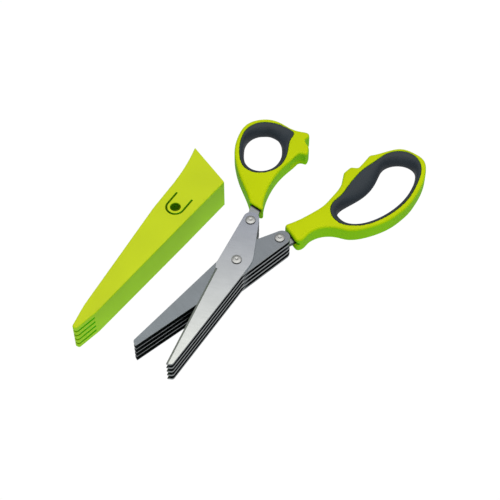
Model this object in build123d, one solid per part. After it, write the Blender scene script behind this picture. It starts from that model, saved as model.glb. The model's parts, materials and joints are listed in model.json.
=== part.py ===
from build123d import *
from math import cos, radians, sin, tan
import os

# Herb scissors: five thumb blades cut against five finger blades on one pivot rivet.
# A loose sheath lies beside them. It has a cleaning comb, and a latch for the pivot rivet.
# Frame: the origin is on the table under the pivot. +Y runs midway between the two handles,
# +X points to the finger handle and +Z points up. The scissors lie open, as on a table.
# Each lever is drawn along its own axis: x runs from the pivot to the tail rivet, and y points
# to the side of its cutting edge. The thumb lever is turned into place, and the finger lever
# is mirrored first.

# Levers
rest_angle = 41.0            # between the two tail axes as the scissors lie, in degrees
closing_angle = 15.8         # the finger lever turns this far from rest to closed, in degrees
pair_count = 5

# Blades
blade_thickness = 1.0
pair_gap = 1.2               # free height between one pair of blades and the next
blade_reach = 67.7           # pivot axis to cutting tip, along the lever
tip_overlap = 0.4            # a closed blade's tip passes the centre line by this much
nose_width = 3.1
nose_setback = 0.4
heel_setback = 4.6           # heel of the cutting edge, past the pivot
heel_height = 9.3
notch_setback = 7.6          # end of the small step behind the cutting edge
notch_depth = 0.5
back_height = 8.0            # lever axis to the back of the blade, at the pivot
back_setback = 1.0
back_radius = 16.0
tail_reach = 26.0            # pivot axis to tail rivet axis
tail_overhang = 5.4          # tail rivet axis to the end of the blade
tail_half_width = 3.5
tail_radius = 3.9
nose_radius = 1.5
tip_radius = 0.3
bevel_width = 1.1            # ground bevel along the cutting edge
bevel_depth = 0.6

# Rivets
rivet_radius = 1.6
running_clearance = 0.05     # between a rivet and the bores that it passes through
head_radius = 2.6
head_height = 1.0
head_crown = 0.45            # rise of the domed part of the upper head
dimple_radius = 1.1
dimple_depth = 0.35
foot_chamfer = 0.25

# Spacers
tail_spacer_radius = 3.3
pivot_spacer_radius = 3.6

# Tangs
thumb_tang_width = 5.8
thumb_tang_offset = 0.4      # tang's centre line to the lever axis, at the rivet
thumb_tang_slant = 3.0       # the tang leans this far to the cutting side, in degrees
finger_tang_width = 8.0
finger_tang_offset = 0.6
finger_tang_slant = -3.0
tang_wall = 4.0              # plastic between a tang's hidden end and the grip
tang_hole_setback = 7.0      # the tang's hidden end to its locking hole
tang_hole_radius = 1.5
tang_fit = 0.05              # clearance of the tang in its moulded pocket
blades_over_tang_count = 2

# Handles
handle_thickness = 9.6
handle_edge_radius = 1.6
handle_corner_radius = 1.8
grip_fit = 0.05              # clearance of a soft grip in its moulded window
grip_bead = 0.6              # the bead on a grip's outside, seated in the handle's groove
grip_bead_height = 3.2
grip_lip = 0.6               # flat rim of a grip, on both faces
lobe_hollow_depth = 1.2      # finger hollow in the near wall of the thumb handle's lobe
lobe_hollow_radius = 6.0
thumb_setback = 9.0          # tail rivet axis to the thumb handle's near end
thumb_length = 64.0
thumb_width = 39.0
finger_setback = 7.0
finger_length = 87.5
finger_width = 40.5

# Outlines of the handles, grips and finger holes. A point is a share of the handle's length
# from its near end, and a share of its width from the lever axis. Each row of a rim is one
# smooth stretch, which runs on to the first point of the next row. Point for point, a grip's
# hole at its waist follows the grip's outline.
thumb_rim_shares = [
    [(0.072, 0.110), (0.190, 0.222), (0.300, 0.346), (0.447, 0.477), (0.600, 0.564),
     (0.766, 0.580), (0.890, 0.528), (0.976, 0.362), (0.998, 0.197), (0.978, 0.044),
     (0.944, -0.095), (0.934, -0.190), (0.935, -0.290)],
    [(0.934, -0.352), (0.895, -0.372), (0.855, -0.386)],
    [(0.806, -0.384), (0.774, -0.414), (0.738, -0.427)],
    [(0.684, -0.412)],
    [(0.664, -0.305), (0.606, -0.252), (0.530, -0.186), (0.435, -0.124), (0.328, -0.082),
     (0.220, -0.063), (0.115, -0.068)],
    [(0.014, -0.098)],
]
thumb_grip_shares = [
    (0.944, 0.309), (0.897, 0.429), (0.824, 0.502), (0.728, 0.523), (0.620, 0.503),
    (0.530, 0.460), (0.450, 0.392), (0.402, 0.295), (0.389, 0.199), (0.402, 0.083),
    (0.435, -0.014), (0.490, -0.095), (0.566, -0.145), (0.645, -0.156), (0.746, -0.138),
    (0.820, -0.136), (0.893, -0.148), (0.928, -0.062), (0.951, 0.065), (0.957, 0.191),
]
thumb_hole_shares = [
    (0.868, 0.280), (0.844, 0.361), (0.795, 0.428), (0.725, 0.460), (0.630, 0.442),
    (0.550, 0.405), (0.490, 0.352), (0.450, 0.275), (0.432, 0.190), (0.434, 0.105),
    (0.458, 0.035), (0.500, -0.022), (0.560, -0.060), (0.630, -0.077), (0.710, -0.060),
    (0.775, -0.026), (0.825, 0.027), (0.858, 0.092), (0.874, 0.160), (0.880, 0.212),
]
finger_rim_shares = [
    [(0.002, 0.096), (0.051, 0.121), (0.110, 0.107), (0.167, 0.120), (0.225, 0.183),
     (0.258, 0.250), (0.287, 0.325), (0.325, 0.385), (0.380, 0.435), (0.459, 0.477),
     (0.557, 0.494), (0.640, 0.472), (0.712, 0.434), (0.780, 0.372), (0.863, 0.272),
     (0.954, 0.104), (0.998, -0.062), (0.985, -0.222), (0.935, -0.388), (0.880, -0.440),
     (0.831, -0.466)],
    [(0.746, -0.522), (0.690, -0.474)],
    [(0.628, -0.428)],
    [(0.594, -0.494)],
    [(0.534, -0.466)],
    [(0.471, -0.330), (0.424, -0.272), (0.358, -0.218), (0.292, -0.170), (0.193, -0.150),
     (0.107, -0.150)],
    [(0.004, -0.182)],
]
finger_grip_shares = [
    (0.277, 0.087), (0.289, -0.022), (0.325, -0.110), (0.416, -0.171), (0.488, -0.240),
    (0.574, -0.318), (0.660, -0.371), (0.740, -0.390), (0.830, -0.411), (0.914, -0.353),
    (0.958, -0.248), (0.967, -0.098), (0.935, 0.055), (0.858, 0.198), (0.760, 0.325),
    (0.650, 0.405), (0.520, 0.431), (0.400, 0.388), (0.320, 0.285), (0.285, 0.190),
]
finger_hole_shares = [
    (0.321, 0.080), (0.340, -0.016), (0.383, -0.057), (0.440, -0.058), (0.508, -0.052),
    (0.590, -0.080), (0.660, -0.146), (0.730, -0.245), (0.785, -0.303), (0.855, -0.278),
    (0.910, -0.170), (0.922, -0.060), (0.890, 0.062), (0.812, 0.200), (0.715, 0.303),
    (0.617, 0.355), (0.503, 0.366), (0.410, 0.331), (0.352, 0.265), (0.328, 0.180),
]
lobe_hollow_share = (0.675, -0.368)

# Sheath
sheath_wall = 1.0
blade_side_clearance = 0.3   # closed blades to the sheath's side walls
head_clearance = 0.2         # rivet heads to the sheath's upper and lower walls
stack_clearance = 0.3        # blades to those walls, at the narrow end
tip_clearance = 3.7          # blade tips to the sheath's end wall
end_wall = 1.4
mouth_reach = 27.3           # pivot to the near corner of the mouth, with the blades sheathed
mouth_slant = 23.7           # in degrees
near_flare = 1.4             # widening of the mouth on its near side
far_flare = 3.3
far_flare_length = 28.0
sheath_edge_radius = 0.8
comb_length = 11.6
comb_end_width = 2.6
comb_slot_width = 1.3
comb_slot_count = 4
comb_corner_radius = 1.2
latch_half_width = 4.1       # springy tongue over the pivot rivet's upper head
latch_length = 8.4           # pivot to the tongue's root
latch_slot_width = 1.1
latch_hole_clearance = 0.2   # the rivet's head to the hole that it snaps into
sheath_x = -43.7             # place of the sheath on the table, where its pivot station lies
sheath_y = 6.7
sheath_turn = 3.5            # in degrees

overrun = 5.0                # how far a cutting solid runs past the piece

# Worked out from the sizes above
lever_angle = rest_angle / 2
closed_lever_angle = (rest_angle - closing_angle) / 2
closed_turn = radians(closed_lever_angle)
tip_rise = (tip_overlap + blade_reach * sin(closed_turn)) / cos(closed_turn)
tail_end = tail_reach + tail_overhang
thumb_start = tail_reach + thumb_setback
finger_start = tail_reach + finger_setback
pair_pitch = 2 * blade_thickness + pair_gap
spacer_height = pair_pitch - blade_thickness
stack_height = pair_count * pair_pitch - pair_gap
stack_top = head_height + stack_height
middle = head_height + stack_height / 2
bore_radius = rivet_radius + running_clearance
handle_bottom = middle - handle_thickness / 2
sheath_height = stack_height + 2 * (head_height + head_clearance + sheath_wall)
sheath_tip_height = stack_height + 2 * (stack_clearance + sheath_wall)


def thumb_blade_bottom(index):
    """Underside of thumb blade number index, counted from the top."""
    return stack_top - blade_thickness - index * pair_pitch


def finger_blade_bottom(index):
    """Underside of finger blade number index. It lies against the thumb blade above it."""
    return thumb_blade_bottom(index) - blade_thickness


def on_thumb_lever(shape):
    """Turns a thumb piece from its lever's own frame into place."""
    return Rot(0, 0, 90 + lever_angle) * shape


def on_finger_lever(shape):
    """Mirrors a finger piece drawn in its lever's own frame, and turns it into place."""
    return Rot(0, 0, 90 - lever_angle) * mirror(shape, about=Plane.XZ)


def closed_side(x, y):
    """Sideways reach from the closed scissors' centre line of a point of a lever."""
    return abs(x * sin(closed_turn) + y * cos(closed_turn))


def closed_station(x, y):
    """Place along the closed scissors' centre line of a point of a lever."""
    return x * cos(closed_turn) - y * sin(closed_turn)


def scaled(shares, start, length, width):
    """Outline points of a handle, from shares of its length and width."""
    return [(start + x * length, y * width) for x, y in shares]


def ring(outer_radius, height, bottom, x=0):
    """Spacer ring with a bore for a rivet at x on the lever's axis."""
    face = Circle(outer_radius) - Circle(bore_radius)
    return Pos(x, 0, bottom) * extrude(face, height)


def blade_face():
    """Outline of one blade, with its rounded tail, stepped heel and clipped nose."""
    corners = [
        (tail_end, -tail_half_width),
        (tail_end, tail_half_width),
        (-heel_setback, heel_height),
        (-notch_setback, heel_height - notch_depth),
        (-blade_reach, tip_rise),
        (-blade_reach + nose_setback, tip_rise - nose_width),
        (back_setback, -back_height),
    ]
    radii = [tail_radius, tail_radius, notch_depth, notch_depth, tip_radius, nose_radius, back_radius]
    outline = make_face(FilletPolyline(*corners, radius=radii, close=True))
    return outline - Circle(bore_radius) - Pos(tail_reach, 0) * Circle(bore_radius)


def bevel_cut():
    """Wedge that grinds the cutting edge, for a blade from z = 0 up to its thickness."""
    start = Vector(-notch_setback, heel_height - notch_depth)
    end = Vector(-blade_reach, tip_rise)
    run = end - start
    behind = start - run.normalized() * overrun
    section_plane = Plane(origin=behind, x_dir=(0, 0, 1), z_dir=run)
    slope = bevel_depth / bevel_width
    section = Polyline(
        (blade_thickness - bevel_depth - slope * overrun, overrun),
        (blade_thickness + slope * overrun, -bevel_width - overrun),
        (blade_thickness + slope * overrun, overrun),
        close=True,
    )
    wedge = extrude(section_plane * make_face(section), run.length + 2 * overrun)
    behind_notch = Box(overrun, blade_reach, overrun, align=(Align.MIN, Align.CENTER, Align.CENTER))
    return wedge - Pos(-notch_setback, 0) * behind_notch


def blade():
    """One thumb blade from z = 0 up. Its bevel is on top, and its flat cutting face below."""
    return extrude(blade_face(), blade_thickness) - bevel_cut()


def cap_radius(radius, rise):
    """Radius of the sphere whose cap has this radius and rise."""
    return (radius**2 + rise**2) / (2 * rise)


def rivet(bottom, top):
    """Rivet clamped between two faces, with a domed and dimpled head above and a flat one below."""
    dome = cap_radius(head_radius, head_crown)
    dimple = cap_radius(dimple_radius, dimple_depth)
    crown = top + head_height
    from_base = (Align.CENTER, Align.CENTER, Align.MIN)
    head = Pos(0, 0, top) * Cylinder(head_radius, head_height, align=from_base)
    head &= Pos(0, 0, crown - dome) * Sphere(dome)
    head -= Pos(0, 0, crown - dimple_depth + dimple) * Sphere(dimple)
    foot = Pos(0, 0, bottom - head_height) * Cylinder(head_radius, head_height, align=from_base)
    foot = chamfer(foot.edges().group_by(Axis.Z)[0], foot_chamfer)
    return head + foot + Pos(0, 0, bottom) * Cylinder(rivet_radius, top - bottom, align=from_base)


def tang_length(window):
    """Length of a tang, from its rivet to its hidden end by the grip's window."""
    return min(x for x, y in window) - grip_bead - tang_wall - tail_reach


def tang_face(length, width, offset, slant, fit=0):
    """Outline of a tang, from its round end at the rivet to its end inside the handle."""
    bar = Pos(tail_reach, offset) * Rot(0, 0, slant) * Rectangle(
        length + fit, width + 2 * fit, align=(Align.MIN, Align.CENTER)
    )
    return bar + Pos(tail_reach, 0) * Circle(tail_spacer_radius + fit)


def tang_hole_place(length, offset, slant):
    """Place of the hole that locks a tang in its handle."""
    return Pos(tail_reach, offset) * Rot(0, 0, slant) * Pos(length - tang_hole_setback, 0)


def tang(length, width, offset, slant, bottom):
    """Steel strap that ties the blades' tails to the moulded handle."""
    hole = tang_hole_place(length, offset, slant) * Circle(tang_hole_radius)
    bore = Pos(tail_reach, 0) * Circle(bore_radius)
    face = tang_face(length, width, offset, slant) - bore - hole
    return Pos(0, 0, bottom) * extrude(face, spacer_height)


def tang_pocket(length, width, offset, slant, bottom):
    """Space that a tang fills in its handle, round the stud through its locking hole."""
    stud = tang_hole_place(length, offset, slant) * Circle(tang_hole_radius - tang_fit)
    face = tang_face(length, width, offset, slant, tang_fit) - stud
    return Pos(0, 0, bottom - tang_fit) * extrude(face, spacer_height + 2 * tang_fit)


def grown(points, distance):
    """Closed outline moved outward. The points run anticlockwise."""
    moved = []
    for index, point in enumerate(points):
        after = points[(index + 1) % len(points)]
        along = Vector(*after) - Vector(*points[index - 1])
        outward = Vector(along.Y, -along.X).normalized()
        moved.append(Vector(*point) + outward * distance)
    return moved


def loop_face(points):
    """Smooth closed outline through the points."""
    return make_face(Spline(*points, periodic=True))


def grip_window(points, fit):
    """Space for a soft grip in its handle: a window with a groove at mid height."""
    window = extrude(loop_face(grown(points, fit)), handle_thickness + 2 * overrun)
    groove = extrude(loop_face(grown(points, grip_bead + fit)), grip_bead_height + 2 * fit)
    window = Pos(0, 0, handle_bottom - overrun) * window
    return window + Pos(0, 0, middle - grip_bead_height / 2 - fit) * groove


def funnel(mouth, waist):
    """Space in a soft grip, widest at both faces. Its walls curve in to the waist as ellipses."""
    half_height = handle_thickness / 2
    sections = []
    for degrees in range(-90, 91, 30):
        height = middle + half_height * sin(radians(degrees))
        spread = 1 - cos(radians(degrees))
        outline = [Vector(*w) + (m - Vector(*w)) * spread for m, w in zip(mouth, waist)]
        sections.append(Pos(0, 0, height) * loop_face(outline))
    return loft(sections)


def grip(points, hole_points):
    """Soft lining of a finger hole, with a bead outside that holds it in the handle."""
    body = Pos(0, 0, handle_bottom) * extrude(loop_face(points), handle_thickness)
    bead = extrude(loop_face(grown(points, grip_bead)), grip_bead_height)
    body += Pos(0, 0, middle - grip_bead_height / 2) * bead
    return body - funnel(grown(points, -grip_lip), hole_points)


def rim_face(rim_shares, size):
    """Outline of a handle, from smooth stretches that meet at corners."""
    edges = []
    for shares, after in zip(rim_shares, rim_shares[1:] + rim_shares[:1]):
        points = scaled(shares + after[:1], *size)
        edges.append(Spline(*points) if len(points) > 2 else Line(*points))
    return make_face(Curve() + edges)


def handle(rim_shares, size):
    """Moulded handle with rounded edges, before its window and tang pocket are cut."""
    body = Pos(0, 0, handle_bottom) * extrude(rim_face(rim_shares, size), handle_thickness)
    body = fillet(body.edges().filter_by(Axis.Z), handle_corner_radius)
    rims = body.faces().sort_by(Axis.Z)[-1].edges() + body.faces().sort_by(Axis.Z)[0].edges()
    return fillet(rims, handle_edge_radius)


def lobe_hollow():
    """Round finger hollow, cut into the wall of the thumb handle's lobe that faces the pivot."""
    x, y = scaled([lobe_hollow_share], thumb_start, thumb_length, thumb_width)[0]
    centre = x - lobe_hollow_radius + lobe_hollow_depth
    return Pos(centre, y, middle) * Sphere(lobe_hollow_radius)


def sheath_stations():
    """Half widths of the sheath's outside, each with its station, at tips, heels and tails."""
    margin = blade_side_clearance + sheath_wall
    nose = (-blade_reach + nose_setback, tip_rise - nose_width)
    heel = (-heel_setback, heel_height)
    tail = (tail_reach, tail_half_width)
    tip_station = closed_station(-blade_reach, tip_rise) - tip_clearance
    return (
        (closed_side(*nose) + margin, tip_station),
        (closed_side(*heel) + margin, closed_station(*heel)),
        (closed_side(*tail) + margin, closed_station(*tail)),
    )


def sheath_slope():
    """Widening of one side of the sheath above the blades' heels, for each step of length."""
    _, (heel_side, heel_station), (tail_side, tail_station) = sheath_stations()
    return (tail_side - heel_side) / (tail_station - heel_station)


def sheath_side(station):
    """Half width of the sheath's outside above the blades' heels, before its mouth flares."""
    _, (heel_side, heel_station), _ = sheath_stations()
    return heel_side + sheath_slope() * (station - heel_station)


def near_mouth_side():
    """Half width of the sheath's outside at the near, flared corner of its mouth."""
    return sheath_side(mouth_reach) + near_flare


def far_mouth_station():
    """Station of the far, flared corner of the sheath's slanted mouth."""
    slant = tan(radians(mouth_slant))
    across = near_mouth_side() + sheath_side(0) + far_flare
    return (mouth_reach + across * slant) / (1 - sheath_slope() * slant)


def sheath_plan(inset, end):
    """Plan of the sheath, or of its cavity with an inset. It runs out past the slanted mouth."""
    (tip_side, tip_station), (heel_side, heel_station), _ = sheath_stations()
    far_station = far_mouth_station()
    flare_station = far_station - far_flare_length
    past_mouth = far_station + overrun
    near_slope = (near_mouth_side() - heel_side) / (mouth_reach - heel_station)
    past_near = (heel_side - inset + near_slope * (past_mouth - heel_station), past_mouth)
    flare_start = (inset - sheath_side(flare_station), flare_station)
    flare_end = (inset - sheath_side(far_station) - far_flare, far_station)
    sides = Polyline(
        past_near,
        (heel_side - inset, heel_station),
        (tip_side - inset, tip_station),
        *end,
        (inset - tip_side, tip_station),
        (inset - heel_side, heel_station),
        flare_start,
    )
    flare = TangentArc(flare_start, flare_end, tangent=(-sheath_slope(), 1))
    mouth = Polyline(flare_end, (flare_end[0], past_mouth), past_near)
    return make_face(Curve() + [sides, flare, mouth])


def sheath_profile(inset, end_station):
    """Side view of the sheath or its cavity, along its length and height."""
    (_, tip_station), _, _ = sheath_stations()
    past_mouth = far_mouth_station() + 2 * overrun
    past_sides = near_mouth_side() + near_flare + far_flare + overrun
    outline = Polyline(
        (end_station, inset),
        (past_mouth, inset),
        (past_mouth, sheath_height - inset),
        (-head_radius, sheath_height - inset),
        (tip_station, sheath_tip_height - inset),
        (end_station, sheath_tip_height - inset),
        close=True,
    )
    return extrude(Plane.YZ * make_face(outline), past_sides, both=True)


def tongue_face(half_width):
    """Outline of the latch's tongue, round about the pivot and square at its root."""
    root = Rectangle(2 * half_width, latch_length, align=(Align.CENTER, Align.MIN))
    return Circle(half_width) + root


def latch_cut():
    """Slot that frees the tongue in the upper wall, and the hole that catches the rivet's head."""
    slot = tongue_face(latch_half_width + latch_slot_width) - tongue_face(latch_half_width)
    hole = Circle(head_radius + latch_hole_clearance)
    return Pos(0, 0, middle) * (extrude(slot, sheath_height) + extrude(hole, sheath_height))


def sheath():
    """Tapered cover for the closed blades, with a latch by its slanted mouth and a comb."""
    (tip_side, tip_station), _, _ = sheath_stations()
    comb_root = tip_station - end_wall
    comb_end = comb_root - comb_length
    sheath_length = far_mouth_station() - comb_end
    comb_tip = [(comb_end_width / 2, comb_end), (-comb_end_width / 2, comb_end)]
    body = extrude(sheath_plan(0, comb_tip), sheath_height)
    body &= sheath_profile(0, comb_end - overrun)
    corners = body.edges().filter_by(Axis.Z).sort_by(Axis.Y)[0:2]
    body = fillet(corners, comb_corner_radius)
    level = body.edges().filter_by(Axis.Z, reverse=True)
    body = fillet(level, sheath_edge_radius)
    cavity = extrude(sheath_plan(sheath_wall, []), sheath_height)
    body -= cavity & sheath_profile(sheath_wall, tip_station - overrun)
    reach = 2 * sheath_length
    beyond = Box(reach, reach, reach, align=(Align.CENTER, Align.MIN, Align.CENTER))
    body -= Pos(near_mouth_side(), mouth_reach, 0) * Rot(0, 0, -mouth_slant) * beyond
    body -= latch_cut()
    slot_pitch = sheath_tip_height / (comb_slot_count + 1)
    slot_size = (2 * tip_side, comb_length + overrun, comb_slot_width)
    slot = Box(*slot_size, align=(Align.CENTER, Align.MAX, Align.CENTER))
    for index in range(comb_slot_count):
        body -= Pos(0, comb_root, (index + 1) * slot_pitch) * slot
    return body


def build():
    parts = {}
    for index in range(pair_count):
        meeting = thumb_blade_bottom(index)
        parts[f"thumb_blade_{index + 1}"] = on_thumb_lever(Pos(0, 0, meeting) * blade())
        turned_over = mirror(blade(), about=Plane.XY)
        parts[f"finger_blade_{index + 1}"] = on_finger_lever(Pos(0, 0, meeting) * turned_over)

    thumb_size = (thumb_start, thumb_length, thumb_width)
    finger_size = (finger_start, finger_length, finger_width)
    thumb_window = scaled(thumb_grip_shares, *thumb_size)
    finger_window = scaled(finger_grip_shares, *finger_size)
    over_tang = blades_over_tang_count - 1
    thumb_tang = (
        tang_length(thumb_window), thumb_tang_width, thumb_tang_offset, thumb_tang_slant,
        thumb_blade_bottom(over_tang) - spacer_height,
    )
    finger_tang = (
        tang_length(finger_window), finger_tang_width, finger_tang_offset, finger_tang_slant,
        finger_blade_bottom(over_tang) - spacer_height,
    )
    parts["thumb_tang"] = on_thumb_lever(tang(*thumb_tang))
    parts["finger_tang"] = on_finger_lever(tang(*finger_tang))

    gaps = [index for index in range(pair_count - 1) if index != over_tang]
    thumb_rings = [
        ring(tail_spacer_radius, spacer_height, thumb_blade_bottom(index) - spacer_height, tail_reach)
        for index in gaps
    ]
    finger_rings = [
        ring(tail_spacer_radius, spacer_height, finger_blade_bottom(index) - spacer_height, tail_reach)
        for index in gaps
    ]
    washers = [
        ring(pivot_spacer_radius, pair_gap, finger_blade_bottom(index) - pair_gap)
        for index in range(pair_count - 1)
    ]
    parts["thumb_tail_spacers"] = on_thumb_lever(Compound(thumb_rings))
    parts["finger_tail_spacers"] = on_finger_lever(Compound(finger_rings))
    parts["pivot_spacers"] = Compound(washers)

    bottom = finger_blade_bottom(pair_count - 1)
    parts["pivot_rivet"] = rivet(bottom, stack_top)
    thumb_rivet = rivet(thumb_blade_bottom(pair_count - 1), stack_top)
    finger_rivet = rivet(bottom, stack_top - blade_thickness)
    parts["thumb_tail_rivet"] = on_thumb_lever(Pos(tail_reach, 0) * thumb_rivet)
    parts["finger_tail_rivet"] = on_finger_lever(Pos(tail_reach, 0) * finger_rivet)

    thumb_body = handle(thumb_rim_shares, thumb_size)
    thumb_body -= grip_window(thumb_window, grip_fit) + tang_pocket(*thumb_tang)
    thumb_body -= lobe_hollow()
    finger_body = handle(finger_rim_shares, finger_size)
    finger_body -= grip_window(finger_window, grip_fit) + tang_pocket(*finger_tang)
    parts["thumb_handle"] = on_thumb_lever(thumb_body)
    parts["finger_handle"] = on_finger_lever(finger_body)
    thumb_hole = scaled(thumb_hole_shares, *thumb_size)
    finger_hole = scaled(finger_hole_shares, *finger_size)
    parts["thumb_grip"] = on_thumb_lever(grip(thumb_window, thumb_hole))
    parts["finger_grip"] = on_finger_lever(grip(finger_window, finger_hole))

    parts["sheath"] = Pos(sheath_x, sheath_y, 0) * Rot(0, 0, sheath_turn) * sheath()
    return parts


if __name__ == "__main__":
    os.makedirs("parts", exist_ok=True)
    for name, shape in build().items():
        export_step(shape, f"parts/{name}.step")
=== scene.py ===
import json
from math import atan2, cos, radians, sin

import bmesh
import bpy
from bpy.props import FloatProperty, FloatVectorProperty, PointerProperty
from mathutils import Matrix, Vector


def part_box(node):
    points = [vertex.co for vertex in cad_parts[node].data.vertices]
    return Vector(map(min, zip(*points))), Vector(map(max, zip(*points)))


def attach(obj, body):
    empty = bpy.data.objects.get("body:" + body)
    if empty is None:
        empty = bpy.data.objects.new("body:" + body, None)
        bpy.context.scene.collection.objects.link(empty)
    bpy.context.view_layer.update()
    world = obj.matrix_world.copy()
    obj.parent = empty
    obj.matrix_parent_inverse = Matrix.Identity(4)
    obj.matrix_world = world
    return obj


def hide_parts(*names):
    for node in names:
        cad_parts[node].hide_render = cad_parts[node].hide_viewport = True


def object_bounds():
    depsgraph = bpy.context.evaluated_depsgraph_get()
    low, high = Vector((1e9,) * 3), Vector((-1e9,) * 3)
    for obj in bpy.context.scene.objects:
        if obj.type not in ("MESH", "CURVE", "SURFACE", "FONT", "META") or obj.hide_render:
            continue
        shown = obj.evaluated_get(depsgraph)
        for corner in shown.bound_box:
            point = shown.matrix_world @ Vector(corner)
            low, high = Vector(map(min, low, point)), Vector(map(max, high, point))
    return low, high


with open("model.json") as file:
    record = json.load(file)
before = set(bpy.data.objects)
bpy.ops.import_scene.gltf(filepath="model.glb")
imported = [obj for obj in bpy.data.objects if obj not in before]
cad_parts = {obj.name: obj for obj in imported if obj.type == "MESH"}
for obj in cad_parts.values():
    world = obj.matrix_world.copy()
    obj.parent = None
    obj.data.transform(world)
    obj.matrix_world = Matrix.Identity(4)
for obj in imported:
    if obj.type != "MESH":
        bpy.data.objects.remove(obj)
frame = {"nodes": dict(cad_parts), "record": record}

bl_info = {
    "name": "Herb Scissors",
    "version": (1, 0, 0),
    "blender": (4, 5, 0),
    "location": "3D View > Sidebar > Scissors",
    "description": "Dresses a pair of herb scissors and their sheath in steel, plastic and rubber",
    "category": "Object",
}

# Five pairs of steel blades on one pivot rivet, two moulded handles with soft grips, and a
# loose sheath with a cleaning comb. Lengths are in metres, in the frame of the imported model.
MM = 0.001
CAD_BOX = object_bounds()
PAIRS = 5
THUMB_BLADES = [f"thumb_blade_{n}" for n in range(1, PAIRS + 1)]
FINGER_BLADES = [f"finger_blade_{n}" for n in range(1, PAIRS + 1)]
RIVETS = ["pivot_rivet", "thumb_tail_rivet", "finger_tail_rivet"]
SPACERS = ["pivot_spacers", "thumb_tail_spacers", "finger_tail_spacers"]
TAIL_STATION = 30 * MM           # along a lever, from the pivot
TIP_STATION = -68 * MM
NOISE_RANGE = {"From Min": 0.3, "From Max": 0.7}     # where most of a noise texture lies


def linear(hex_code):
    """Linear red, green and blue of an sRGB hex colour."""
    shares = [int(hex_code[i:i + 2], 16) / 255 for i in (1, 3, 5)]
    return tuple(c / 12.92 if c <= 0.04045 else ((c + 0.055) / 1.055) ** 2.4 for c in shares)


def centre(node):
    """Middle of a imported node's box."""
    low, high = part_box(node)
    return (low + high) / 2


def lever_turn(tail_rivet):
    """Angle of a lever's axis from +X, from the pivot rivet to its tail rivet."""
    along = centre(tail_rivet) - centre("pivot_rivet")
    return atan2(along.y, along.x)


def body_of(node):
    """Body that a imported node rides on."""
    bodies = frame["record"]["behaviour"]["bodies"]
    return next(body for body, nodes in bodies.items() if node in nodes)


PIVOT = centre("pivot_rivet").xy
# Where each tang goes into its handle: the turn of the way in, and its station from the pivot.
# The thumb handle's end is cut at a slant.
# A tang is painted dark from just short of its station into its handle, a painted shadow.
ENTRIES = {
    "thumb": (lever_turn("thumb_tail_rivet") - radians(24.5), 34.2 * MM),
    "finger": (lever_turn("finger_tail_rivet"), 33.1 * MM),
}
# The lobe of the thumb handle has a finger groove in its side and a hollow in its near wall,
# and both handles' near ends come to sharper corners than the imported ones.
# A row is a place and a push along and across the lever, and the reach around the place.
DENTS = {
    "thumb": (
        ((89 * MM, -15.4 * MM), (0, 1.9 * MM), 3.6 * MM),
        ((78 * MM, -13 * MM), (1.2 * MM, 0), 4 * MM),
        ((36 * MM, -4 * MM), (-1.2 * MM, -1.6 * MM), 4 * MM),
    ),
    "finger": (
        ((35.5 * MM, -4.4 * MM), (-0.3 * MM, -1.1 * MM), 6 * MM),
    ),
}
WELD = 0.0005 * MM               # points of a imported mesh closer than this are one
LEVEL = radians(0.5)             # faces that meet at less are one flat face
CREASE = radians(25)             # edges that turn by more are eased


# Settings


class SteelSettings(bpy.types.PropertyGroup):
    # A face's tail and tip colours make a painted reflection that runs along the blade.
    outer_tail_colour: FloatVectorProperty(
        name="Outer faces, tail", description="Steel of the satin outer faces, by the tail rivet",
        subtype="COLOR", default=linear("#888C98"), min=0, max=1)
    outer_tip_colour: FloatVectorProperty(
        name="Outer faces, tip", description="Steel of the satin outer faces, by the tip",
        subtype="COLOR", default=linear("#C3C6C4"), min=0, max=1)
    inner_tail_colour: FloatVectorProperty(
        name="Inner faces, tail", description="Steel of the ground cutting faces, by the tail rivet",
        subtype="COLOR", default=linear("#7B8087"), min=0, max=1)
    inner_tip_colour: FloatVectorProperty(
        name="Inner faces, tip", description="Steel of the ground cutting faces, by the tip",
        subtype="COLOR", default=linear("#7C8389"), min=0, max=1)
    # Painted shade: the blades under the top pair are painted dark, so that the gaps between the blades
    # look shaded.
    gap_shade_colour: FloatVectorProperty(
        name="Rolled faces", description="Steel of the blades under the top pair, as rolled",
        subtype="COLOR", default=linear("#4E5458"), min=0, max=1)
    # Painted highlight: the blades' upright sheared sides are painted in this bright colour.
    edge_highlight_colour: FloatVectorProperty(
        name="Blade edges", description="Steel of the sheared edges",
        subtype="COLOR", default=linear("#E4EAEC"), min=0, max=1)
    rivet_colour: FloatVectorProperty(
        name="Rivets", description="Steel of the headed rivets",
        subtype="COLOR", default=linear("#B2B3B3"), min=0, max=1)
    strap_colour: FloatVectorProperty(
        name="Straps and spacers", description="Rolled steel of the tangs and spacers",
        subtype="COLOR", default=linear("#8E9296"), min=0, max=1)
    strap_half_width: FloatProperty(
        name="Tangs", description="Half the width of a tang where it leaves the blades",
        unit="LENGTH", default=3.4 * MM, min=0)
    # Painted shade and shadow: the sides of rivets and spacers, and a tang where it goes into its handle,
    # are painted dark.
    painted_shade_colour: FloatVectorProperty(
        name="Painted shade", description="Steel where it is dark: a rivet's sides, and a tang by its handle",
        subtype="COLOR", default=linear("#1C1C1E"), min=0, max=1)
    edge_ease: FloatProperty(
        name="Blade edges", description="Width of the eased edges of a blade",
        unit="LENGTH", default=0.09 * MM, min=0)
    head_ease: FloatProperty(
        name="Rivet edges", description="Width of the eased edges of a rivet head",
        unit="LENGTH", default=0.12 * MM, min=0)


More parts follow.
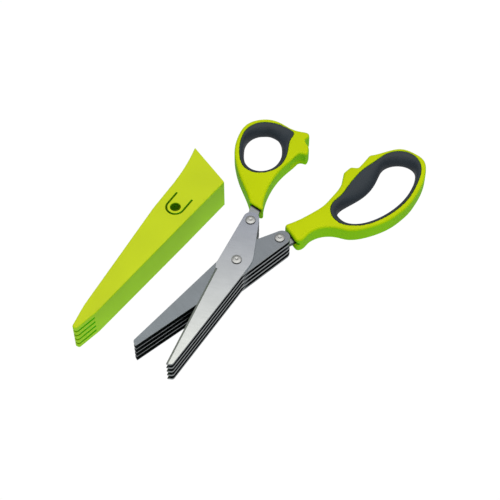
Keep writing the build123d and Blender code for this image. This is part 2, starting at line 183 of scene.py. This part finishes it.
class MouldedSettings(bpy.types.PropertyGroup):
    handle_colour: FloatVectorProperty(
        name="Handles", description="Plastic of the handles, on their flat faces",
        subtype="COLOR", default=linear("#C4D600"), min=0, max=1)
    # Painted shade: the handles' sides take a deeper green than their flat faces.
    handle_side_colour: FloatVectorProperty(
        name="Handle sides", description="Plastic of the handles, on their sides",
        subtype="COLOR", default=linear("#84C600"), min=0, max=1)
    sheath_colour: FloatVectorProperty(
        name="Sheath", description="Plastic of the sheath, on its flat faces",
        subtype="COLOR", default=linear("#C8DA08"), min=0, max=1)
    # Painted shade: the sheath's sides take a deeper green than its flat faces.
    sheath_side_colour: FloatVectorProperty(
        name="Sheath sides", description="Plastic of the sheath, on its sides",
        subtype="COLOR", default=linear("#A2DC10"), min=0, max=1)
    # Painted shade and painted glow: the slots and hollows are painted this deep green and glow in it.
    hollow_shade_and_glow_colour: FloatVectorProperty(
        name="Hollows", description="Light that comes through the plastic into its slots and hollows",
        subtype="COLOR", default=linear("#2E9A08"), min=0, max=1)
    grip_colour: FloatVectorProperty(
        name="Grips", description="Rubber of the soft grips",
        subtype="COLOR", default=linear("#28313A"), min=0, max=1)
    handle_voxel: FloatProperty(
        name="Handle mesh", description="Spacing of the mesh that the handles are made of",
        unit="LENGTH", default=0.4 * MM, min=0.1 * MM)
    sheath_ease: FloatProperty(
        name="Sheath edges", description="Width of the eased edges of the sheath",
        unit="LENGTH", default=0.35 * MM, min=0)
    grip_voxel: FloatProperty(
        name="Grip mesh", description="Spacing of the mesh that the soft grips are made of",
        unit="LENGTH", default=0.4 * MM, min=0.1 * MM)


class StageSettings(bpy.types.PropertyGroup):
    distance: FloatProperty(
        name="Camera distance", description="From the camera to the point that it aims at",
        unit="LENGTH", default=0.7, min=0.1)
    elevation: FloatProperty(
        name="Elevation", description="Height of the camera above the horizon",
        subtype="ANGLE", default=radians(52.8))
    azimuth: FloatProperty(
        name="Azimuth", description="Turn of the camera about the upright axis",
        subtype="ANGLE", default=radians(36))
    aim: FloatVectorProperty(
        name="Aim", description="Point on the floor that the camera aims at",
        subtype="TRANSLATION", size=3, default=(-0.00521, 0.018486, 0))
    lens: FloatProperty(
        name="Lens", description="Focal length in millimetres, on a 36 mm sensor",
        default=97.8, min=1)
    key_power: FloatProperty(
        name="Key light", description="Power of the large light overhead",
        subtype="POWER", default=7, min=0)
    key_size: FloatProperty(
        name="Key light size", description="Side of the large light overhead",
        unit="LENGTH", default=1.25, min=0.1)
    fill_power: FloatProperty(
        name="Front light", description="Power of the low light beside the camera",
        subtype="POWER", default=0.8, min=0)
    fill_size: FloatProperty(
        name="Front light size", description="Side of the low light beside the camera",
        unit="LENGTH", default=0.6, min=0.1)


# Materials


def add(tree, kind, inputs=None, **settings):
    """Adds a node with its settings. An input is a value, or a socket to link from."""
    node = tree.nodes.new(kind)
    for name, value in settings.items():
        setattr(node, name, value)
    for name, value in (inputs or {}).items():
        if isinstance(value, bpy.types.NodeSocket):
            tree.links.new(value, node.inputs[name])
        else:
            node.inputs[name].default_value = value
    return node


def new_material(name):
    """Empty node material with its output."""
    material = bpy.data.materials.new(name)
    material.use_nodes = True
    tree = material.node_tree
    tree.nodes.clear()
    return material, tree, add(tree, "ShaderNodeOutputMaterial")


def ground_steel(name, tail_colour, tip_colour, edge_highlight_colour, turn, roughness):
    """Stainless steel, ground on a belt: fine lines run across the blade and blur what it mirrors.
    Its colour runs from a tail colour to a tip colour, a painted reflection, and its sheared sides are
    painted bright, a painted highlight."""
    material, tree, out = new_material(name)
    coordinates = add(tree, "ShaderNodeTexCoord")
    place = coordinates.outputs["Object"]
    line_pitch = 0.35 * MM       # real grit lines are finer, but would not show
    line_length = 9 * MM
    turned = add(tree, "ShaderNodeMapping", {"Vector": place, "Rotation": (0, 0, -turn)})
    stretch = (1 / line_pitch, 1 / line_length, 1 / line_length)
    lines_at = add(tree, "ShaderNodeMapping", {"Vector": turned.outputs[0], "Scale": stretch})
    lines = add(tree, "ShaderNodeTexNoise", {"Vector": lines_at.outputs[0], "Scale": 1, "Detail": 3})
    cloud_size = 14 * MM
    clouds = add(tree, "ShaderNodeTexNoise", {"Vector": place, "Scale": 1 / cloud_size, "Detail": 2})
    rough = add(tree, "ShaderNodeMapRange", {
        "Value": lines.outputs["Fac"], **NOISE_RANGE,
        "To Min": roughness - 0.02, "To Max": roughness + 0.05})
    light = add(tree, "ShaderNodeMapRange", {
        "Value": clouds.outputs["Fac"], **NOISE_RANGE,
        "To Min": 0.95, "To Max": 1.03})
    # Painted reflection: the colour runs from the tail colour to the tip colour along the blade.
    station = add(tree, "ShaderNodeSeparateXYZ", {0: turned.outputs[0]})
    along = add(tree, "ShaderNodeMapRange", {
        "Value": station.outputs["X"], "From Min": TAIL_STATION, "From Max": TIP_STATION})
    tone = add(tree, "ShaderNodeMix", {
        "Factor": along.outputs[0], "A": tail_colour, "B": tip_colour}, data_type="VECTOR")
    # Painted highlight: faces that stand upright take the bright edge colour.
    facing = add(tree, "ShaderNodeSeparateXYZ", {0: coordinates.outputs["Normal"]})
    upright = add(tree, "ShaderNodeMath", {0: facing.outputs["Z"]}, operation="ABSOLUTE")
    flat = add(tree, "ShaderNodeMapRange", {
        "Value": upright.outputs[0], "From Min": 0.3, "From Max": 0.8})
    edge_highlighted = add(tree, "ShaderNodeMix", {
        "Factor": flat.outputs[0], "A": edge_highlight_colour, "B": tone.outputs[1]}, data_type="VECTOR")
    shade = add(tree, "ShaderNodeVectorMath", {
        0: edge_highlighted.outputs[1], "Scale": light.outputs[0]}, operation="SCALE")
    bump = add(tree, "ShaderNodeBump", {
        "Height": lines.outputs["Fac"], "Strength": 0.05, "Distance": 0.02 * MM})
    skin = add(tree, "ShaderNodeBsdfPrincipled", {
        "Base Color": shade.outputs[0], "Metallic": 1.0, "Roughness": rough.outputs[0],
        "Normal": bump.outputs[0]})
    tree.links.new(skin.outputs[0], out.inputs[0])
    return material


def headed_steel(name, colour, painted_shade_colour, roughness, entry=None):
    """Stainless steel, cold headed or rolled: fairly bright, with a faint grain. Its sheared sides are
    painted dark, a painted shade. With an entry, a turn in plan and a station, it is painted dark where it
    goes into plastic, a painted shadow."""
    material, tree, out = new_material(name)
    coordinates = add(tree, "ShaderNodeTexCoord")
    place = coordinates.outputs["Object"]
    grain_size = 0.6 * MM
    grain = add(tree, "ShaderNodeTexNoise", {"Vector": place, "Scale": 1 / grain_size, "Detail": 4})
    rough = add(tree, "ShaderNodeMapRange", {
        "Value": grain.outputs["Fac"], **NOISE_RANGE,
        "To Min": roughness - 0.05, "To Max": roughness + 0.08})
    if entry:
        turn, station = entry
        turned = add(tree, "ShaderNodeMapping", {"Vector": place, "Rotation": (0, 0, -turn)})
        split = add(tree, "ShaderNodeSeparateXYZ", {0: turned.outputs[0]})
        # Painted shadow on the tang, from here into its handle.
        shadow_end = station - 0.3 * MM
        shadow_fade = 1 * MM
        bright = add(tree, "ShaderNodeMapRange", {
            "Value": split.outputs["X"], "From Min": shadow_end, "From Max": shadow_end - shadow_fade})
    else:
        # Painted shade on the upright sides.
        split = add(tree, "ShaderNodeSeparateXYZ", {0: coordinates.outputs["Normal"]})
        bright = add(tree, "ShaderNodeMapRange", {
            "Value": split.outputs["Z"], "From Min": 0.1, "From Max": 0.5})
    tone = add(tree, "ShaderNodeMix", {
        "Factor": bright.outputs[0], "A": painted_shade_colour, "B": colour}, data_type="VECTOR")
    bump = add(tree, "ShaderNodeBump", {
        "Height": grain.outputs["Fac"], "Strength": 0.1, "Distance": 0.03 * MM})
    skin = add(tree, "ShaderNodeBsdfPrincipled", {
        "Base Color": tone.outputs[1], "Metallic": 1.0, "Roughness": rough.outputs[0],
        "Normal": bump.outputs[0]})
    tree.links.new(skin.outputs[0], out.inputs[0])
    return material


def moulded_plastic(name, colour, side_colour, hollow_shade_and_glow_colour, roughness, specular):
    """ABS, injection moulded in a finely blasted tool: semi-gloss, with a soft grain. Its sides are
    painted a deeper green than its flat faces, a painted shade, and its slots and hollows, where the piece
    closes around them, are painted a deep green shade and given a painted glow in that green."""
    material, tree, out = new_material(name)
    coordinates = add(tree, "ShaderNodeTexCoord")
    place = coordinates.outputs["Object"]
    grain_size = 0.45 * MM
    grain = add(tree, "ShaderNodeTexNoise", {"Vector": place, "Scale": 1 / grain_size, "Detail": 2})
    flow_size = 22 * MM
    flow = add(tree, "ShaderNodeTexNoise", {"Vector": place, "Scale": 1 / flow_size, "Detail": 1})
    light = add(tree, "ShaderNodeMapRange", {
        "Value": flow.outputs["Fac"], **NOISE_RANGE,
        "To Min": 0.96, "To Max": 1.03})
    # Painted shade: faces that stand upright take the deeper side colour.
    facing = add(tree, "ShaderNodeSeparateXYZ", {0: coordinates.outputs["Normal"]})
    upright = add(tree, "ShaderNodeMath", {0: facing.outputs["Z"]}, operation="ABSOLUTE")
    flat = add(tree, "ShaderNodeMapRange", {
        "Value": upright.outputs[0], "From Min": 0.15, "From Max": 0.95})
    outside = add(tree, "ShaderNodeMix", {
        "Factor": flat.outputs[0], "A": side_colour, "B": colour}, data_type="VECTOR")
    # Painted shade: where the piece closes around a point, its colour goes to the deep green.
    reach = 12 * MM
    open_share = add(tree, "ShaderNodeAmbientOcclusion", {"Distance": reach},
                     samples=8, only_local=True)
    closed = add(tree, "ShaderNodeMapRange", {
        "Value": open_share.outputs["AO"], "From Min": 0.75, "From Max": 0.35})
    tone = add(tree, "ShaderNodeMix", {
        "Factor": closed.outputs[0], "A": outside.outputs[1], "B": hollow_shade_and_glow_colour}, data_type="VECTOR")
    shade = add(tree, "ShaderNodeVectorMath", {
        0: tone.outputs[1], "Scale": light.outputs[0]}, operation="SCALE")
    rough = add(tree, "ShaderNodeMapRange", {
        "Value": grain.outputs["Fac"], **NOISE_RANGE,
        "To Min": roughness - 0.04, "To Max": roughness + 0.06})
    bump = add(tree, "ShaderNodeBump", {
        "Height": grain.outputs["Fac"], "Strength": 0.08, "Distance": 0.05 * MM})
    skin = add(tree, "ShaderNodeBsdfPrincipled", {
        "Base Color": shade.outputs[0], "Roughness": rough.outputs[0], "IOR": 1.53,
        "Specular IOR Level": specular, "Normal": bump.outputs[0]})
    # Painted glow: the slots and hollows glow in the deep green.
    through = add(tree, "ShaderNodeMapRange", {
        "Value": open_share.outputs["AO"], "From Min": 0.5, "From Max": 0.1})
    skin.inputs["Emission Color"].default_value = (*hollow_shade_and_glow_colour, 1)
    tree.links.new(through.outputs[0], skin.inputs["Emission Strength"])
    tree.links.new(skin.outputs[0], out.inputs[0])
    return material


def soft_rubber(name, colour, roughness):
    """Thermoplastic rubber, moulded over the handle: matt, with a faint stipple and a soft sheen."""
    material, tree, out = new_material(name)
    place = add(tree, "ShaderNodeTexCoord").outputs["Object"]
    stipple_size = 0.5 * MM
    stipple = add(tree, "ShaderNodeTexNoise", {
        "Vector": place, "Scale": 1 / stipple_size, "Detail": 3})
    rub_size = 11 * MM
    rub = add(tree, "ShaderNodeTexNoise", {"Vector": place, "Scale": 1 / rub_size, "Detail": 2})
    light = add(tree, "ShaderNodeMapRange", {
        "Value": rub.outputs["Fac"], **NOISE_RANGE,
        "To Min": 0.9, "To Max": 1.1})
    shade = add(tree, "ShaderNodeVectorMath", {0: colour, "Scale": light.outputs[0]}, operation="SCALE")
    bump = add(tree, "ShaderNodeBump", {
        "Height": stipple.outputs["Fac"], "Strength": 0.2, "Distance": 0.06 * MM})
    skin = add(tree, "ShaderNodeBsdfPrincipled", {
        "Base Color": shade.outputs[0], "Roughness": roughness, "IOR": 1.5,
        "Specular IOR Level": 0.35, "Sheen Weight": 0.08, "Sheen Roughness": 0.4,
        "Normal": bump.outputs[0]})
    tree.links.new(skin.outputs[0], out.inputs[0])
    return material


# Meshes


def eased_copy(node, ease, curved=False):
    """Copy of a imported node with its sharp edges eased, standing for that node. Flat faces stay
    sharply shaded, and those of a curved piece run into each other."""
    piece = bpy.data.objects.new(f"{node}_eased", bpy.data.meshes.new(f"{node}_eased"))
    bpy.context.scene.collection.objects.link(piece)
    form = bmesh.new()
    form.from_mesh(frame["nodes"][node].data)
    bmesh.ops.remove_doubles(form, verts=form.verts, dist=WELD)
    bmesh.ops.dissolve_limit(form, angle_limit=LEVEL, verts=form.verts, edges=form.edges)
    for face in form.faces:
        face.smooth = curved
    form.to_mesh(piece.data)
    form.free()
    rounding = piece.modifiers.new("ease", "BEVEL")
    rounding.width = ease
    rounding.segments = 2
    rounding.limit_method = "ANGLE"
    rounding.angle_limit = CREASE
    if curved:
        shading = piece.modifiers.new("shading", "WEIGHTED_NORMAL")
        shading.weight = 100         # the larger face wins
    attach(piece, body_of(node))
    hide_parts(node)
    return piece


def even_copy(node, name, spacing, passes):
    """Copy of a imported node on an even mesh, its edges softened, standing for that node."""
    piece = bpy.data.objects.new(name, bpy.data.meshes.new(name))
    bpy.context.scene.collection.objects.link(piece)
    form = bmesh.new()
    form.from_mesh(frame["nodes"][node].data)
    bmesh.ops.remove_doubles(form, verts=form.verts, dist=WELD)
    form.to_mesh(piece.data)
    form.free()
    even = piece.modifiers.new("even", "REMESH")
    even.mode = "VOXEL"
    even.voxel_size = spacing
    even.use_smooth_shade = True
    soften = piece.modifiers.new("soften", "SMOOTH")
    soften.factor = 0.5
    soften.iterations = passes
    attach(piece, body_of(node))
    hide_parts(node)
    return piece


def press(piece, side):
    """Presses one side's dents into its handle. An outward push draws a corner out."""
    rivet = f"{side}_tail_rivet"
    shaped = piece.evaluated_get(bpy.context.evaluated_depsgraph_get())
    piece.data = bpy.data.meshes.new_from_object(shaped)
    piece.modifiers.clear()
    for place, push, reach in DENTS[side]:
        middle = PIVOT + on_lever(rivet, *place)
        shift = on_lever(rivet, *push)
        for point in piece.data.vertices:
            share = (point.co.xy - middle).length / reach
            if share < 1:
                point.co.xy += shift * (1 - share**2) ** 2


def trim(strap, tail_rivet, half_width):
    """Trims a strap's sides, which would show beside the blades' tails."""
    across = on_lever(tail_rivet, 0, 1)
    for point in strap.data.vertices:
        offset = (point.co.xy - PIVOT).dot(across)
        point.co.xy += across * (max(-half_width, min(half_width, offset)) - offset)


def on_lever(tail_rivet, along, across):
    """Vector in plan from lever measures: along runs to the tail rivet, across to its left."""
    turn = lever_turn(tail_rivet)
    return Vector((along * cos(turn) - across * sin(turn), along * sin(turn) + across * cos(turn)))


def dress(piece, material):
    """Gives a piece its one material."""
    piece.data.materials.clear()
    piece.data.materials.append(material)


# Operators


class SCISSORS_OT_blades(bpy.types.Operator):
    """Ten ground blades with eased edges"""
    bl_idname = "scissors.blades"
    bl_label = "Blades"

    def execute(self, context):
        steel = context.scene.scissors_steel
        outer = (steel.outer_tail_colour, steel.outer_tip_colour)
        inner = (steel.inner_tail_colour, steel.inner_tip_colour)
        # The blades under the top pair take a dark painted shade, for the gaps between the blades.
        rolled = (steel.gap_shade_colour, steel.gap_shade_colour)
        satin_roughness = 0.32
        ground_roughness = 0.4
        lower_blade_roughness = 0.3
        for nodes, rivet, name, colours, roughness in (
            (THUMB_BLADES[:1], "thumb_tail_rivet", "satin_stainless_outer", outer, satin_roughness),
            (FINGER_BLADES[:1], "finger_tail_rivet", "ground_stainless_inner", inner, ground_roughness),
            (THUMB_BLADES[1:], "thumb_tail_rivet", "shade_painted_stainless_thumb", rolled, lower_blade_roughness),
            (FINGER_BLADES[1:], "finger_tail_rivet", "shade_painted_stainless_finger", rolled, lower_blade_roughness),
        ):
            material = ground_steel(name, *colours, steel.edge_highlight_colour, lever_turn(rivet), roughness)
            for node in nodes:
                dress(eased_copy(node, steel.edge_ease), material)
        return {"FINISHED"}


class SCISSORS_OT_rivets(bpy.types.Operator):
    """Pivot rivet and tail rivets with bright domed heads"""
    bl_idname = "scissors.rivets"
    bl_label = "Rivets"

    def execute(self, context):
        steel = context.scene.scissors_steel
        material = headed_steel(
            "headed_stainless_rivet", steel.rivet_colour, steel.painted_shade_colour, roughness=0.42)
        for node in RIVETS:
            dress(eased_copy(node, steel.head_ease, curved=True), material)
        return {"FINISHED"}


class SCISSORS_OT_straps(bpy.types.Operator):
    """Tangs and spacers of rolled steel between the blades"""
    bl_idname = "scissors.straps"
    bl_label = "Tangs and spacers"

    def execute(self, context):
        steel = context.scene.scissors_steel
        colours = (steel.strap_colour, steel.painted_shade_colour)
        roughness = 0.36
        spacer_steel = headed_steel("rolled_stainless_spacer", *colours, roughness)
        for node in SPACERS:
            dress(eased_copy(node, steel.edge_ease), spacer_steel)
        for side, entry in ENTRIES.items():
            strap_steel = headed_steel(f"rolled_stainless_{side}_tang", *colours, roughness, entry)
            strap = eased_copy(f"{side}_tang", steel.edge_ease)
            trim(strap, f"{side}_tail_rivet", steel.strap_half_width)
            dress(strap, strap_steel)
        return {"FINISHED"}


class SCISSORS_OT_handles(bpy.types.Operator):
    """Moulded handles"""
    bl_idname = "scissors.handles"
    bl_label = "Handles"

    def execute(self, context):
        moulded = context.scene.scissors_moulded
        material = moulded_plastic(
            "moulded_abs_handle", moulded.handle_colour, moulded.handle_side_colour,
            moulded.hollow_shade_and_glow_colour, roughness=0.42, specular=0.06)
        for side in DENTS:
            node = f"{side}_handle"
            piece = even_copy(node, f"{node}_moulding", moulded.handle_voxel, passes=3)
            press(piece, side)
            dress(piece, material)
        return {"FINISHED"}


class SCISSORS_OT_grips(bpy.types.Operator):
    """Soft grips in the finger holes"""
    bl_idname = "scissors.grips"
    bl_label = "Grips"

    def execute(self, context):
        moulded = context.scene.scissors_moulded
        material = soft_rubber("overmoulded_rubber_grip", moulded.grip_colour, roughness=0.55)
        for node in ("thumb_grip", "finger_grip"):
            dress(even_copy(node, f"{node}_rubber", moulded.grip_voxel, passes=5), material)
        return {"FINISHED"}


class SCISSORS_OT_sheath(bpy.types.Operator):
    """Tapered sheath with its cleaning comb"""
    bl_idname = "scissors.sheath"
    bl_label = "Sheath"

    def execute(self, context):
        moulded = context.scene.scissors_moulded
        material = moulded_plastic(
            "moulded_abs_sheath", moulded.sheath_colour, moulded.sheath_side_colour,
            moulded.hollow_shade_and_glow_colour, roughness=0.4, specular=0.2)
        dress(eased_copy("sheath", moulded.sheath_ease, curved=True), material)
        return {"FINISHED"}


class SCISSORS_OT_stage(bpy.types.Operator):
    """White table, soft lights and the camera"""
    bl_idname = "scissors.stage"
    bl_label = "Stage"

    def execute(self, context):
        settings = context.scene.scissors_stage
        self.table()
        self.room(context)
        overhead = (0.05, 0.05, 0.95)
        beside_camera = (0.25, -0.9, 0.35)
        self.light("key", overhead, settings.key_size, settings.key_power, "#FFFDF6", settings)
        self.light("front", beside_camera, settings.fill_size, settings.fill_power, "#E4FFF2", settings)
        self.camera(context, settings)
        return {"FINISHED"}

    def table(self):
        table_size = 6
        gap = 0.2 * MM               # keeps the table's face out of the flat undersides
        bpy.ops.mesh.primitive_plane_add(size=table_size, location=(0, 0, CAD_BOX[0].z - gap))
        table = bpy.context.object
        table.name = "table"
        material, tree, out = new_material("white_table")
        plain_white = 1.02           # a little past white, so that no shade shows on it
        glow = add(tree, "ShaderNodeEmission", {"Color": (1, 1, 1, 1), "Strength": plain_white})
        tree.links.new(glow.outputs[0], out.inputs[0])
        table.data.materials.append(material)
        table.visible_glossy = False

    def room(self, context):
        world = bpy.data.worlds.new("studio")
        world.use_nodes = True
        tree = world.node_tree
        tree.nodes.clear()
        look = add(tree, "ShaderNodeTexCoord").outputs["Generated"]
        height = add(tree, "ShaderNodeSeparateXYZ", {0: look}).outputs["Z"]
        bright = add(tree, "ShaderNodeMapRange", {
            "Value": height, "From Min": 0, "From Max": 0.9, "To Min": 0.3, "To Max": 0.44})
        back = add(tree, "ShaderNodeBackground", {"Color": (1, 1, 1, 1), "Strength": bright.outputs[0]})
        out = add(tree, "ShaderNodeOutputWorld")
        tree.links.new(back.outputs[0], out.inputs[0])
        context.scene.world = world

    def light(self, name, place, size, power, colour, settings):
        """Square light turned to the aim point. Its place is to the right, forward and up as seen."""
        turn = settings.azimuth
        across, along, up = place
        spot = Vector((across * cos(turn) - along * sin(turn), across * sin(turn) + along * cos(turn), up))
        lamp = bpy.data.lights.new(name, "AREA")
        lamp.size = size
        lamp.energy = power
        lamp.color = linear(colour)
        holder = bpy.data.objects.new(name, lamp)
        bpy.context.scene.collection.objects.link(holder)
        holder.location = Vector(settings.aim) + spot
        holder.rotation_euler = (-spot).to_track_quat("-Z", "Y").to_euler()

    def camera(self, context, settings):
        eye = bpy.data.cameras.new("camera")
        eye.lens = settings.lens
        eye.sensor_width = 36
        eye.clip_start = 0.01
        holder = bpy.data.objects.new("camera", eye)
        context.scene.collection.objects.link(holder)
        flat = settings.distance * cos(settings.elevation)
        away = Vector((
            sin(settings.azimuth) * flat, -cos(settings.azimuth) * flat,
            settings.distance * sin(settings.elevation)))
        holder.location = Vector(settings.aim) + away
        holder.rotation_euler = (-away).to_track_quat("-Z", "Y").to_euler()
        context.scene.camera = holder
        context.scene.view_settings.view_transform = "Standard"


class SCISSORS_PT_panel(bpy.types.Panel):
    """Lists the steps that dress the scissors"""
    bl_label = "Herb scissors"
    bl_idname = "SCISSORS_PT_panel"
    bl_space_type = "VIEW_3D"
    bl_region_type = "UI"
    bl_category = "Scissors"

    def draw(self, context):
        for step in STEPS:
            self.layout.operator(step.bl_idname)


SETTINGS = {
    "scissors_steel": SteelSettings,
    "scissors_moulded": MouldedSettings,
    "scissors_stage": StageSettings,
}
STEPS = (
    SCISSORS_OT_blades, SCISSORS_OT_rivets, SCISSORS_OT_straps, SCISSORS_OT_handles,
    SCISSORS_OT_grips, SCISSORS_OT_sheath, SCISSORS_OT_stage,
)


def register():
    for name, settings in SETTINGS.items():
        bpy.utils.register_class(settings)
        setattr(bpy.types.Scene, name, PointerProperty(type=settings))
    for step in STEPS:
        bpy.utils.register_class(step)
    bpy.utils.register_class(SCISSORS_PT_panel)


def unregister():
    bpy.utils.unregister_class(SCISSORS_PT_panel)
    for step in reversed(STEPS):
        bpy.utils.unregister_class(step)
    for name, settings in SETTINGS.items():
        delattr(bpy.types.Scene, name)
        bpy.utils.unregister_class(settings)


def main():
    register()
    for operator in (
        bpy.ops.scissors.blades, bpy.ops.scissors.rivets, bpy.ops.scissors.straps,
        bpy.ops.scissors.handles, bpy.ops.scissors.grips, bpy.ops.scissors.sheath,
        bpy.ops.scissors.stage,
    ):
        operator()


if __name__ == "__main__":
    main()
